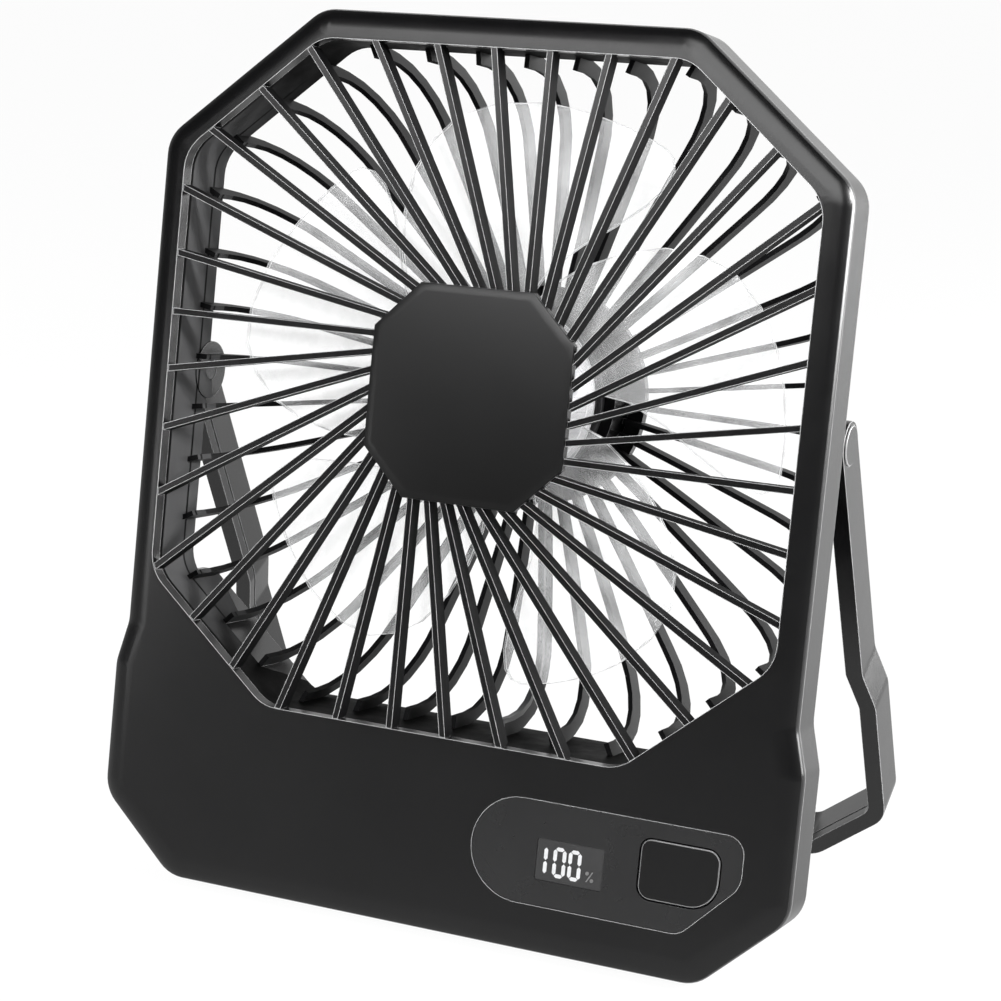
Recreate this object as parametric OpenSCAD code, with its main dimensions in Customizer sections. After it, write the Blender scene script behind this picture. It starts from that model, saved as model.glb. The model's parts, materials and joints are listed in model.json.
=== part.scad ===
// Portable camping fan on a folding U-shaped stand.
// Millimetres, +Z up, the fan faces -Y, origin under the middle of the footprint.
// Each piece is drawn upright in its own frame: X across, Y = depth behind the
// front plane, Z = height above the fan's centre. place() then leans it back.

/* [Opening] */
// Half width and half height of the fan's opening
open_half = 78.5; // [70:0.25:90]
// Half width of its top edge between the corner cuts
open_flat_half = 45.1; // [38:0.1:55]
// Height where its corner cuts end
open_cut_z = 50.4; // [40:0.1:58]
// Radius of the corners of the opening
open_r = 10; // [6:0.5:12]
// Wall of the duct behind the opening
duct_wall = 1.3; // [1:0.1:1.6]
// Depth of the duct's rear edge
duct_rear = 19.5; // [18:0.5:22]

/* [Body] */
// Width of the frame beside the opening
frame_side = 6; // [5.5:0.1:9]
// Height of the frame above the opening
frame_top = 6.8; // [6:0.1:10]
// How much wider the flat top is than the opening's
frame_flat = 1; // [0:0.1:3]
// How much higher the upper corner cuts end than the opening's
frame_cut = 3; // [1:0.1:5]
// How much wider the base is on each side than the frame
base_wider = 2.6; // [1:0.1:5]
// Height of the base below the opening
base_high = 45.5; // [42:0.5:60]
// How far above the opening's lower edge the sides start to widen
flare_up = 14.9; // [12:0.1:18]
// Height over which they widen
flare_h = 10.2; // [6:0.1:14]
// Width of the lower corner cuts
base_cut_w = 19.6; // [14:0.1:24]
// Height of the lower corner cuts
base_cut_h = 18; // [14:0.5:22]
// Radius of the corners of the front outline
outline_r = 9; // [6:0.5:10]
// Depth of the joint between front cover and rear shell
parting = 3.5; // [3:0.1:5]
// Depth of the rear edge of the side band
band_rear = 14.5; // [13:0.1:17]
// Wall of the side band
band_wall = 1.8; // [1.2:0.1:2.5]
// How far the front edge is drawn in by its rounding
edge_in = 6; // [3:0.25:7]
// Depth at which the front rounding ends
edge_depth = 2.2; // [1.5:0.1:2.8]
// Thickness of the front plate beside the controls
plate = 2.2; // [1.8:0.1:2.8]
// Depth of the rear wall of the base
base_rear = 28; // [27:0.5:34]
// Wall of the base
base_wall = 2; // [1.5:0.1:3]

/* [Front grille] */
// Number of front ribs
front_ribs = 36; // [24:2:40]
// Distance at which the line of each rib passes the centre
rib_offset = 12.05; // [8:0.05:14]
// Width of a front rib
front_rib_w = 1.5; // [1:0.1:1.8]
// Depth of the front face of the ribs
front_rib_start = 0.4; // [0.2:0.1:0.8]
// Depth of the rear face of the ribs
front_rib_end = 4.6; // [4:0.1:5]
// Half size of the hub plate
hub_plate_half = 24.7; // [22:0.1:28]
// Corner cut of the hub plate
hub_plate_cut = 10.8; // [8:0.1:13]
// Thickness of the hub plate
hub_plate_t = 2.4; // [2:0.1:3]

/* [Rear grille] */
// Number of rear ribs
rear_ribs = 40; // [24:2:44]
// Width of a rear rib
rear_rib_w = 1.2; // [1:0.1:1.8]
// Depth of a rear rib from its front to its rear edge
rear_rib_t = 5; // [4:0.1:6]
// How far its foot stands in from the duct's wall
rib_foot_t = 3; // [2:0.1:4]
// Distance over which the ribs swing back from the wall
shoulder_in = 21; // [18:0.5:24]
// Depth of the rear grille at that shoulder
shoulder_depth = 45; // [43:0.1:46]
// Depth of the outer face of the rear hub
rear_hub_depth = 48; // [47:0.1:50]
// Radius of the rear hub
rear_hub_r = 26.5; // [25:0.5:30]
// Thickness of the rear hub
rear_hub_t = 2.5; // [2:0.1:3]
// Depth of the recess in the rear hub that holds the motor's seat
motor_recess = 10; // [9:0.5:11]

/* [Impeller] */
// Number of blades
blade_count = 5; // [3:1:6]
// Room between the blade tips and the opening's flat sides
blade_room = 10; // [8:0.5:14]
// Thickness of a blade along the depth
blade_t = 1.4; // [1:0.1:1.8]
// Middle depth of the blades
blade_mid = 20.2; // [20:0.1:20.6]
// Half of the blades' depth range
blade_sweep = 12.5; // [10:0.5:12.5]
// Turn of the first blade from the +X direction
blade_turn = 9; // [0:1:72]
// Outer radius of the impeller's hub
hub_r = 22; // [21.5:0.1:24]
// Depth of the hub's front face
hub_front = 6.8; // [6:0.1:7]
// Thickness of the hub's front face
hub_face_t = 1.6; // [1.2:0.1:2]
// Depth of the hub's rear edge
hub_rear = 24; // [22:0.5:27]

/* [Motor] */
// Outer radius of the rotor can
can_r = 20; // [19:0.1:20.5]
// Wall of the rotor can
can_wall = 1; // [0.8:0.1:1.2]
// Depth of the can's open end
can_rear = 29; // [28:0.1:30]
// Thickness of the magnets
magnet_t = 1.5; // [1:0.1:2]
// Radius of the stator's pole faces
stator_r = 17; // [16:0.1:17.2]
// Number of stator poles
pole_count = 9; // [6:3:12]
// Thickness of the stator stack
stator_t = 9; // [7:0.5:10]
// Radius of the shaft
shaft_r = 1.5; // [1.2:0.1:2]
// Outer radius of a bearing
bearing_r = 3.9; // [3.6:0.1:4.2]
// Length of a bearing
bearing_l = 3; // [2.5:0.1:3.5]
// Wall of the bearing tube
tube_wall = 1.1; // [1:0.1:1.4]
// Radius of the motor's flange
flange_r = 20; // [18:0.5:24]
// Thickness of the motor's flange
flange_t = 2; // [1.6:0.1:2.4]
// Radius of the circle of the motor screws
motor_screw_circle = 15; // [12:0.5:16]
// Number of motor screws
motor_screw_count = 3; // [3:1:4]
// Turn of the first motor screw from the +X direction
motor_screw_turn = 30; // [0:5:90]

/* [Control panel] */
// Distance of the panel from the base's side
panel_in = 11.2; // [9:0.1:14]
// Width of the panel right of its round end
panel_w = 52.3; // [48:0.1:56]
// Drop of the panel's middle below the opening
panel_drop = 22.3; // [20:0.1:24]
// Radius of the panel's round end
panel_r = 11.9; // [10:0.1:12.5]
// Thickness of the panel
panel_t = 1.6; // [1.2:0.1:2]
// Distance of the button from the panel's right edge
button_in = 4.9; // [3:0.1:6]
// Width of the button
button_w = 18.6; // [14:0.1:19]
// Height of the button
button_h = 13.6; // [10:0.1:15]
// Travel of the button
button_travel = 0.6; // [0.3:0.1:0.6]
// Distance of the display window from the middle of the panel's round end
window_in = 4.1; // [3:0.1:6]
// Width of the display window
window_w = 16.3; // [14:0.1:17]
// Height of the display window
window_h = 9.7; // [8:0.1:11]
// Height of the digits
digit_h = 7; // [5:0.1:7.5]

/* [Stand] */
// Angle by which the stand is swung out of the body
stand_angle = 35.8; // [25:0.1:45]
// Depth of the stand's pivot
pivot_depth = 20.3; // [20.3:0.1:21]
// Height of the stand's pivot above the centre
pivot_z = -2; // [-10:0.5:10]
// Thickness of the stand's bar
bar_t = 4.2; // [3.5:0.1:4.6]
// Depth of the stand's bar
bar_depth = 11; // [9:0.5:11]
// How much further the stand reaches from its pivot than the body does
stand_beyond = 8.4; // [4:0.1:16]
// Outer corner radius of the stand
stand_r = 9; // [6:0.5:12]
// Radius of the pivot pins
pin_r = 2.5; // [2:0.1:3]
// Radius of the pins' heads
pin_head_r = 3.8; // [3.4:0.1:4]
// Radius of the caps over the pivots
cap_r = 4.6; // [4.4:0.1:5]

/* [Battery and feet] */
// Radius of a battery cell
cell_r = 9.15; // [8.8:0.05:9.2]
// Length of a battery cell
cell_l = 65; // [60:0.5:68]
// How far the rubber feet stand out at their lowest edge
foot_out = 1; // [0.6:0.1:1.6]
// Length of a foot
foot_l = 26; // [16:1:40]
// Depth of a foot from its front to its rear edge
foot_w = 5.5; // [4:0.5:8]

/* [Hidden] */

$fn = 64;
arc_step = 9;       // turn covered by one straight piece of a rounded corner
cut = 0.1;          // extra length of a cutting solid past the face that it opens
seam = 0.15;        // gap round a piece let into another
run_gap = 0.1;      // gap beside a part that turns
fit = 0.05;         // radial gap of a pin in its bore
running_fit = 0.03; // radial gap of the shaft in its bearings

// ---- outlines, listed from the top down the right side, then mirrored ----
function unit(v) = v / norm(v);
function inward(a, b) = let (e = unit(b - a)) [e[1], -e[0]];
function both_sides(right) = concat(right,
    [for (i = [len(right) - 1 : -1 : 0]) [-right[i][0], right[i][1]]]);
function inset(points, by) = let (n = len(points)) [for (i = [0 : n - 1])
    let (n1 = inward(points[(i + n - 1) % n], points[i]), n2 = inward(points[i], points[(i + 1) % n]))
    points[i] + by * (n1 + n2) / (1 + n1 * n2)];
function turned(v, angle) = [v[0] * cos(angle) - v[1] * sin(angle), v[0] * sin(angle) + v[1] * cos(angle)];
function arc_at(a, v, b, r) = let (e1 = unit(v - a), e2 = unit(b - v),
    side = e1[0] * e2[1] - e1[1] * e2[0] < 0 ? 1 : -1, half = acos(e1 * e2) / 2,
    n1 = side * [e1[1], -e1[0]], middle = v - e1 * r * tan(half) + n1 * r, steps = ceil(2 * half / arc_step))
    [for (k = [0 : steps]) middle + turned(-n1 * r, -side * 2 * half * k / steps)];
// Rounds every corner by one radius, or each by its own; 0 leaves a corner sharp
function rounded(points, radii) = let (n = len(points)) [for (i = [0 : n - 1])
    let (r = is_list(radii) ? radii[i] : radii)
    each (r > 0 ? arc_at(points[(i + n - 1) % n], points[i], points[(i + 1) % n], r) : [points[i]])];
function shrunk(radii, by) = [for (r = radii) r > 0 ? max(0.3, r - by) : 0];

body_half = open_half + frame_side;
base_half = body_half + base_wider;
body_drop = open_half + base_high;
base_cut_z = body_drop - base_cut_h;
bottom_flat_half = base_half - base_cut_w;
flare_start = open_half - flare_up;
flare_end = flare_start + flare_h;
body_points = both_sides([[open_flat_half + frame_flat, open_half + frame_top],
    [body_half, open_cut_z + frame_cut], [body_half, -flare_start],
    [base_half, -flare_end], [base_half, -base_cut_z], [bottom_flat_half, -body_drop]]);
open_points = both_sides([[open_flat_half, open_half], [open_half, open_cut_z],
    [open_half, -open_cut_z], [open_flat_half, -open_half]]);
function body_outline(by) = rounded(inset(body_points, by), max(1, outline_r - by));
function open_outline(by) = rounded(inset(open_points, by), max(1, open_r - by));

// The stand's bar lies beside the housing behind the band, flush with the band
side_gap = 0.4;
stand_length = body_drop + pivot_z + stand_beyond;
house_in = bar_t + side_gap;
house_half = body_half - house_in;
stand_flare = flare_start + 1;
stand_flare_end = flare_end + 1;
house_flare = stand_flare - pivot_z + 2;
house_flare_end = stand_flare_end - pivot_z + 2;
house_cut_z = base_cut_z - house_in / 2;
house_drop = body_drop - house_in;
base_top = open_cut_z + 1.6;
house_points = both_sides([[house_half, -base_top], [house_half, -house_flare],
    [base_half - house_in, -house_flare_end], [base_half - house_in, -house_cut_z],
    [bottom_flat_half - house_in / 2, -house_drop]]);
duct_out = -duct_wall;

stand_cut = stand_length - (body_drop - base_cut_z);
stand_points = both_sides([[body_half, 0], [body_half, -stand_flare], [base_half, -stand_flare_end],
    [base_half, -stand_cut], [bottom_flat_half, -stand_length]]);

// The floor touches the feet and the stand's pad; its slope is the lean of the body
foot_edge = [band_rear, -body_drop - foot_out];
pad_out = 1;
pad_edge = [pivot_depth + (stand_length + pad_out) * sin(stand_angle) - bar_depth / 2 * cos(stand_angle),
    pivot_z - (stand_length + pad_out) * cos(stand_angle) - bar_depth / 2 * sin(stand_angle)];
lean = atan((pad_edge[1] - foot_edge[1]) / (pad_edge[0] - foot_edge[0]));
floor_z = foot_edge[1] * cos(lean) - foot_edge[0] * sin(lean);
stand_rear = [pivot_depth + stand_length * sin(stand_angle) + bar_depth / 2 * cos(stand_angle),
    pivot_z - stand_length * cos(stand_angle) + bar_depth / 2 * sin(stand_angle)];
front_y = (edge_in / 2 - body_drop) * sin(lean);
rear_y = stand_rear[0] * cos(lean) + stand_rear[1] * sin(lean);
origin_y = (front_y + rear_y) / 2;

module place() translate([0, -origin_y, -floor_z]) rotate([-lean, 0, 0]) children();
module place_stand() place() translate([0, pivot_depth, pivot_z]) rotate([stand_angle, 0, 0]) children();

// A flat shape in X and Z, from one depth to another
module slab(front, back) translate([0, back, 0]) rotate([90, 0, 0]) linear_extrude(back - front) children();
module disc(r, front, back) translate([0, back, 0]) rotate([90, 0, 0]) cylinder(r = r, h = back - front);
module disc_at(p, r, front, back) translate([p[0], 0, p[1]]) disc(r, front, back);
module ring(r_out, r_in, front, back) difference() {
    disc(r_out, front, back);
    disc(r_in, front - cut, back + cut);
}
module box(x, y, z) translate([x[0], y[0], z[0]]) cube([x[1] - x[0], y[1] - y[0], z[1] - z[0]]);
module across(r, x) translate([x[0], 0, 0]) rotate([0, 90, 0]) cylinder(r = r, h = x[1] - x[0]);
module both() {
    children();
    mirror([1, 0, 0]) children();
}
module around(count, start = 0) for (i = [0 : count - 1]) rotate([0, -start - i * 360 / count, 0]) children();

module at_motor_screws() around(motor_screw_count, motor_screw_turn) translate([motor_screw_circle, 0, 0]) children();

// A closed frame through outlines of equal length, from one to the next and back to the first
function skin_points(rings) = [for (ring = rings) each [for (p = ring[1]) [p[0], ring[0], p[1]]]];
module skin(rings) {
    n = len(rings[0][1]);
    count = len(rings);
    polyhedron(skin_points(rings), [for (j = [0 : count - 1]) each [for (i = [0 : n - 1]) let (k = (j + 1) % count)
        [j * n + i, k * n + i, k * n + (i + 1) % n, j * n + (i + 1) % n]]]);
}

// ---- case: front cover ----
edge_steps = 5;
skin_in = edge_in + 2;
front_rings = concat([for (k = [0 : edge_steps]) let (a = 90 * k / edge_steps)
    [edge_depth * (1 - cos(a)), body_outline(edge_in * (1 - sin(a)))]],
    [[parting, body_outline(0)], [parting, body_outline(skin_in)], [0, body_outline(skin_in)]]);

screw_in = 9;
screw_up = 7.5;
low_screw_in = 7.5;
low_screw_drop = 19.5;
screw_spots = [[body_half - screw_in, screw_up - open_half], [body_half - low_screw_in, -open_half - low_screw_drop]];
screw_r = 1.2;
screw_head_r = 2.4;
screw_head_t = 2;
screw_seat = 13;
post_r = 3;
post_end = 10;
tongue_x = 30;
tongue_w = 12;
tongue_t = 1.2;
tongue_end = 9;

module cut_corner_square(half, corner) polygon([[-half, corner - half], [-half, half - corner],
    [corner - half, half], [half - corner, half], [half, half - corner], [half, corner - half],
    [half - corner, -half], [corner - half, -half]]);

module front_rib_lines() for (i = [0 : front_ribs - 1]) rotate(-i * 360 / front_ribs)
    translate([hub_plate_half / 2, -rib_offset - front_rib_w / 2])
        square([open_half * 1.5, front_rib_w]);

module front_rib_set(front, back, by) slab(front, back) intersection() {
    front_rib_lines();
    polygon(open_outline(by));
}

panel_right = base_half - panel_in;
panel_left = panel_right - panel_w;
panel_z = -open_half - panel_drop;
button_left = panel_right - button_in - button_w;
window_left = panel_left + window_in;
panel_top = panel_z + panel_r;
panel_bottom = panel_z - panel_r;
panel_step_x = panel_right - panel_r - 1;
button_top = panel_z + 8;
window_top = panel_z + 3.7;
panel_corner_r = [panel_r - 0.02, 4, 6, 5, panel_r - 0.02];
button_corner_r = [2.5, 3, 6.5, 3];
window_corner_r = [0.6, 0.6, 0.6, 0.6];
function frame_points(left, top, w, h) = [[left, top], [left + w, top], [left + w, top - h], [left, top - h]];
module panel_shape(by) polygon(rounded(inset([[panel_left - panel_r, panel_top], [panel_right, panel_top],
    [panel_right, panel_z + 1], [panel_step_x, panel_bottom], [panel_left - panel_r, panel_bottom]], by),
    shrunk(panel_corner_r, by)));
module button_shape(by) polygon(rounded(inset(frame_points(button_left, button_top, button_w, button_h), by),
    shrunk(button_corner_r, by)));
module window_shape(by) polygon(rounded(inset(frame_points(window_left, window_top, window_w, window_h), by),
    shrunk(window_corner_r, by)));

module base_cavity_shape() difference() {
    polygon(body_outline(band_wall));
    polygon(open_outline(duct_out));
}

pad_behind = 1.2;
button_gap = 0.35;
pad_margin = 2;
module front_cover() color("#2d2d2e") place() difference() {
    union() {
        difference() {
            union() {
                skin(front_rings);
                slab(0, parting) polygon(body_outline(edge_in + 1));
            }
            slab(-1, parting + cut) polygon(open_outline(0));
            slab(plate, parting + cut) difference() {
                base_cavity_shape();
                panel_shape(-pad_margin);
            }
        }
        slab(plate, plate + pad_behind) panel_shape(-pad_margin);
        slab(0, hub_plate_t) cut_corner_square(hub_plate_half, hub_plate_cut);
        front_rib_set(front_rib_start, parting, -0.8);
        front_rib_set(parting, front_rib_end, 0.3);
        both() for (p = screw_spots) disc_at(p, post_r, plate - cut, post_end);
        both() box([tongue_x, tongue_x + tongue_w], [plate - cut, tongue_end],
            [open_half + duct_wall + 0.3, open_half + duct_wall + 0.3 + tongue_t]);
    }
    slab(-1, panel_t) panel_shape(-seam);
    both() for (p = screw_spots) disc_at(p, screw_r, plate + 1, post_end + cut);
    slab(panel_t - cut, plate + pad_behind + cut) button_shape(-button_gap);
    slab(panel_t - cut, plate + pad_behind + cut) window_shape(0.4 - seam);
}

// ---- case: rear shell ----
function wall_reach(a) = let (n = unit([open_half - open_cut_z, open_half - open_flat_half]))
    min(open_half / max(0.01, abs(cos(a))), open_half / max(0.01, abs(sin(a))),
        (n * [open_half, open_cut_z]) / (n[0] * abs(cos(a)) + n[1] * abs(sin(a))));
// Points of a rib's edge from the wall to the hub; two distances give how far it lies
// inside the rib's rear edge, at the wall and further in
swing_steps = 6;
dome_steps = 3;
function rib_edge(reach, end, at_wall, inside) = concat(
    [for (k = [0 : swing_steps]) let (a = 90 * k / swing_steps)
        [reach - shoulder_in + (shoulder_in - at_wall) * cos(a),
            duct_rear + (shoulder_depth - inside - duct_rear) * sin(a)]],
    [for (k = [1 : dome_steps]) let (t = k / dome_steps)
        [reach - shoulder_in + (end - reach + shoulder_in) * t,
            shoulder_depth - inside + (rear_hub_depth - shoulder_depth) * sin(90 * t)]]);
function rib_angle(i) = i * 360 / rear_ribs - rib_turn;
function reversed(list) = [for (i = [len(list) - 1 : -1 : 0]) list[i]];
rib_turn = 1;
rib_foot = 13;
rib_bite = 0.6;
hub_wall = 2;
recess_r = flange_r + 0.6;
recess_out = recess_r + hub_wall;
rib_end = recess_out - rib_bite;
dome_end = recess_out + 0.4;
seat_rear = rear_hub_depth - motor_recess;
seat_front = seat_rear - rear_hub_t;
// A rib is a plate on edge: X is the distance from the axis, Y the depth
module rear_rib(reach) translate([0, 0, -rear_rib_w / 2]) linear_extrude(rear_rib_w)
    polygon(concat([[reach + rib_bite, rib_foot], [reach + rib_bite, duct_rear - rib_bite]],
        [for (p = rib_edge(reach, dome_end, 0, 0)) if (p[0] < reach) p],
        [[rib_end, rear_hub_depth], [rib_end, rear_hub_depth - rear_rib_t]],
        reversed(rib_edge(reach, dome_end, rib_foot_t, rear_rib_t)), [[reach - rib_foot_t, rib_foot]]));

lobe_r = 7;
lobe_in = house_half - open_half + 0.3;
usb_right = 47.1;
usb_x = base_half - usb_right;
usb_w = 9;
usb_h = 3.2;
usb_l = 7.4;
pcb_t = 1.6;
pcb_half = 12;
pcb_front = 12;
ledge_w = 2;
usb_z = panel_z - 2.4;
lead_rib = 31;
lead_w = 1.6;
lead_t = 1.2;
lead_half = 1.2;
lead_gap = 0.4;
lead_x = (wall_reach(rib_angle(lead_rib)) - rib_foot_t - lead_t / 2) * cos(rib_angle(lead_rib));

module house_shape(by) polygon(inset(house_points, by));

module rear_shell() color("#2b2b2c") place() difference() {
    union() {
        difference() {
            union() {
                slab(parting, band_rear) polygon(body_outline(0));
                slab(band_rear - cut, duct_rear) polygon(open_outline(duct_out));
                slab(band_rear - cut, base_rear) house_shape(0);
            }
            slab(parting - cut, base_rear + cut) polygon(open_outline(0));
            slab(parting - cut, band_rear - band_wall) base_cavity_shape();
            slab(parting - cut, base_rear - base_wall) difference() {
                house_shape(base_wall);
                polygon(open_outline(duct_out));
            }
        }
        for (i = [0 : rear_ribs - 1]) rotate([0, -rib_angle(i), 0]) rear_rib(wall_reach(rib_angle(i)));
        ring(rear_hub_r, recess_r, rear_hub_depth - rear_hub_t, rear_hub_depth);
        ring(recess_out, recess_r, seat_rear, rear_hub_depth);
        disc(recess_out, seat_front, seat_rear);
        both() translate([0, pivot_depth, pivot_z]) across(lobe_r, [house_half - lobe_in, house_half]);
        both() for (p = screw_spots) disc_at(p, post_r + 0.8, post_end, base_rear - base_wall + cut);
        for (x = [usb_x - pcb_half, usb_x + pcb_half - ledge_w]) box([x, x + ledge_w],
            [pcb_front, base_rear - base_wall + cut], [usb_z - pcb_t - 3, usb_z - pcb_t]);
    }
    both() translate([0, pivot_depth, pivot_z]) across(pin_r + fit, [house_half - lobe_in - cut, house_half + cut]);
    both() for (p = screw_spots) disc_at(p, screw_r + 0.2, post_end - cut, base_rear + cut);
    both() for (p = screw_spots) disc_at(p, screw_head_r + 0.2, screw_seat, base_rear + cut);
    at_motor_screws() disc(screw_r + 0.2, seat_front - cut, seat_rear + cut);
    at_motor_screws() disc(screw_head_r + 0.2, seat_rear - 1.2, seat_rear + cut);
    box([usb_x - usb_w / 2 - 0.3, usb_x + usb_w / 2 + 0.3], [base_rear - base_wall - cut, base_rear + cut],
        [usb_z - 0.2, usb_z + usb_h + 0.3]);
    box([lead_x - lead_half - lead_gap, lead_x + lead_half + lead_gap],
        [rib_foot - lead_t - lead_gap, rib_foot + lead_gap], [-open_half - duct_wall - cut, duct_wall - open_half]);
}

// ---- case: motor ----
tube_r = bearing_r + tube_wall;
tube_front = 13;
flange_front = seat_front - flange_t;
board_front = flange_front - pcb_t;
can_front = hub_front + hub_face_t;
bearing_front = tube_front + 0.5;
bearing_back = flange_front - 1.5 - bearing_l;
stator_back = can_rear - 1;
stator_front = stator_back - stator_t;
back_iron_r = tube_r + 2.6;
pole_w = 3;
pole_tip_t = 1.6;

module motor_base() color("#3a3a3c") place() difference() {
    union() {
        disc(flange_r, flange_front, seat_front);
        disc(tube_r, tube_front, seat_front - cut);
    }
    disc(bearing_r, tube_front - cut, flange_front);
    at_motor_screws() disc(screw_r, flange_front - cut, seat_front + cut);
}

module motor_bearings() color("#b08d57") place()
    for (front = [bearing_front, bearing_back]) ring(bearing_r, shaft_r + running_fit, front, front + bearing_l);

module motor_board() color("#1f6b3a") place() difference() {
    disc(board_edge, board_front, flange_front);
    disc(tube_r + fit, board_front - cut, flange_front + cut);
    at_motor_screws() disc(screw_r, board_front - cut, flange_front + cut);
}

module pole_shape() {
    translate([back_iron_r - 0.4, -pole_w / 2]) square([stator_r - pole_tip_t - back_iron_r + 0.8, pole_w]);
    intersection() {
        difference() {
            circle(stator_r);
            circle(stator_r - pole_tip_t);
        }
        translate([0, -stator_r * tan(150 / pole_count)]) square([stator_r, 2 * stator_r * tan(150 / pole_count)]);
    }
}

module stator_core() color("#8a8d92") place() slab(stator_front, stator_back) difference() {
    union() {
        circle(back_iron_r);
        for (i = [0 : pole_count - 1]) rotate(i * 360 / pole_count) pole_shape();
    }
    circle(tube_r + fit);
}

coil_t = 1;
coil_over = 0.9;
coil_root = 0.5;
module stator_coils() color("#b5652b") place() around(pole_count) difference() {
    box([back_iron_r + coil_root, stator_r - pole_tip_t - 0.2], [stator_front - coil_over, stator_back + coil_over],
        [-pole_w / 2 - coil_t, pole_w / 2 + coil_t]);
    box([back_iron_r, stator_r], [stator_front, stator_back], [-pole_w / 2, pole_w / 2]);
}

module motor_screws() color("#9a9da1") place() at_motor_screws() {
    disc(screw_r, flange_front + 0.2, seat_rear - 1.2);
    disc(screw_head_r - 0.2, seat_rear - 1.2, seat_rear - 0.2);
}

// ---- case: battery and electronics ----
cell_right = 1;
cell_gap = 0.2;
cell_depth = 14.5;
cell_z = [-open_half - duct_wall - 0.45 - cell_r, -open_half - duct_wall - 0.45 - 3 * cell_r - cell_gap];
strip_t = 0.3;
strip_half = 4;
cradle_front = cell_depth + cell_r * 0.55;
module cell(by, long) for (z = cell_z) translate([0, cell_depth, z])
    across(cell_r + by, [cell_right - cell_l - long, cell_right + long]);

module battery_cells() color("#3f7fb5") place() cell(0, 0);

module battery_cradle() color("#242425") place() difference() {
    box([cell_right - cell_l + 2, cell_right - 2], [cradle_front, base_rear - base_wall],
        [cell_z[1] - cell_r + 0.2, cell_z[0] + cell_r - 0.2]);
    cell(fit, 1);
}

module battery_strips() color("#c9cbce") place()
    for (x = [cell_right, cell_right - cell_l - strip_t]) box([x, x + strip_t],
        [cell_depth - strip_half, cell_depth + strip_half], [cell_z[1] - strip_half, cell_z[0] + strip_half]);

board_left = panel_left - 7.6;
board_right = panel_right - 2.4;
board_top = panel_z + 13.8;
board_bottom = panel_z - 14.2;
wire = 1.2;
wire_z = usb_z - pcb_t + 0.2;
wire_front = plate + pad_behind + 0.3;
wire_turn = board_left - 2.5;
wire_level = cell_depth + 1;
board_d = 8;
module wire_run(x, y) box(x, y, [wire_z, wire_z + wire]);
module wiring() {
    color("#b3302a") place() wire_run([cell_right + strip_t, usb_x - pcb_half],
        [cell_depth + strip_half - wire, cell_depth + strip_half]);
    color("#1c1c1d") place() {
        left = cell_right - cell_l - strip_t;
        wire_run([left - wire, left], [wire_front, cell_depth]);
        wire_run([left - wire, wire_turn + wire], [wire_front, wire_front + wire]);
        wire_run([wire_turn, wire_turn + wire], [wire_front, wire_level + wire]);
        wire_run([wire_turn, usb_x - pcb_half], [wire_level, wire_level + wire]);
    }
    color("#d8d8d8") place() wire_run([usb_x - 4, usb_x + 4], [board_d + pcb_t, pcb_front]);
}

// The lead lies on the front edge of one rib, follows the recess and passes the flange to the motor's board
lead_foot = rib_foot - lead_t / 2;
board_edge = flange_r - 1;
module lead_strip(reach) translate([0, 0, -lead_w / 2]) linear_extrude(lead_w)
    polygon(concat([[reach - rib_foot_t, lead_foot]], rib_edge(reach, dome_end, rib_foot_t, rear_rib_t),
        [[dome_end, board_front + lead_t], [board_edge, board_front + lead_t], [board_edge, board_front],
            [dome_end + lead_t, board_front]],
        reversed(rib_edge(reach, dome_end + lead_t, rib_foot_t + lead_t, rear_rib_t + lead_t)),
        [[reach - rib_foot_t - lead_t, lead_foot]]));

lead_on_board = 3;
module motor_lead() color("#d8d8d8") place() {
    rotate([0, -rib_angle(lead_rib), 0]) lead_strip(wall_reach(rib_angle(lead_rib)));
    box([lead_x - lead_half, lead_x + lead_half], [rib_foot - lead_t, rib_foot],
        [board_top, rib_foot_t + lead_t - open_half]);
    box([lead_x - lead_half, lead_x + lead_half], [board_d, rib_foot], [board_top, board_top + lead_t]);
    box([lead_x - lead_half, max(lead_x + lead_half, board_left + lead_on_board)], [board_d, board_d + lead_t],
        [board_top, board_top + lead_t]);
}

module charge_board() color("#1f6b3a") place()
    box([usb_x - pcb_half, usb_x + pcb_half], [pcb_front, base_rear - base_wall - 0.3], [usb_z - pcb_t, usb_z]);

module usb_socket() color("#a9acb0") place() difference() {
    box([usb_x - usb_w / 2, usb_x + usb_w / 2], [base_rear - 0.3 - usb_l, base_rear - 0.3], [usb_z, usb_z + usb_h]);
    box([usb_x - usb_w / 2 + 0.35, usb_x + usb_w / 2 - 0.35], [base_rear - usb_l + 1, base_rear],
        [usb_z + 0.35, usb_z + usb_h - 0.35]);
}

module case_screws() color("#8f9296") place() both() for (p = screw_spots) {
    disc_at(p, screw_r, plate + 2, screw_seat);
    disc_at(p, screw_head_r, screw_seat, screw_seat + screw_head_t);
}

// ---- case: control panel ----
module control_panel() color("#2f2f31") place() slab(0, panel_t) difference() {
    panel_shape(0);
    button_shape(-button_gap);
    window_shape(0);
}

lens_front = 0.2;
module display_window() color("#333336") place() slab(lens_front, panel_t) window_shape(0.05);

digit_w = 3.1;
segment_w = 0.85;
segment_gap = 0.12;
digit_step = 3.7;
digit_first = window_left + 4.1;
one_step = 4.5;
digit_left = [digit_first - one_step, digit_first, digit_first + digit_step];
digit_top = window_top - 1.5;
percent_h = 2.4;
percent_left = digit_first + 8;
module segment(a, b) {
    e = unit(b - a);
    n = [e[1], -e[0]];
    s = a + e * segment_gap;
    t = b - e * segment_gap;
    h = segment_w / 2;
    polygon([s, s + (e + n) * h, t + (n - e) * h, t, t - (e + n) * h, s + (e - n) * h]);
}
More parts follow.
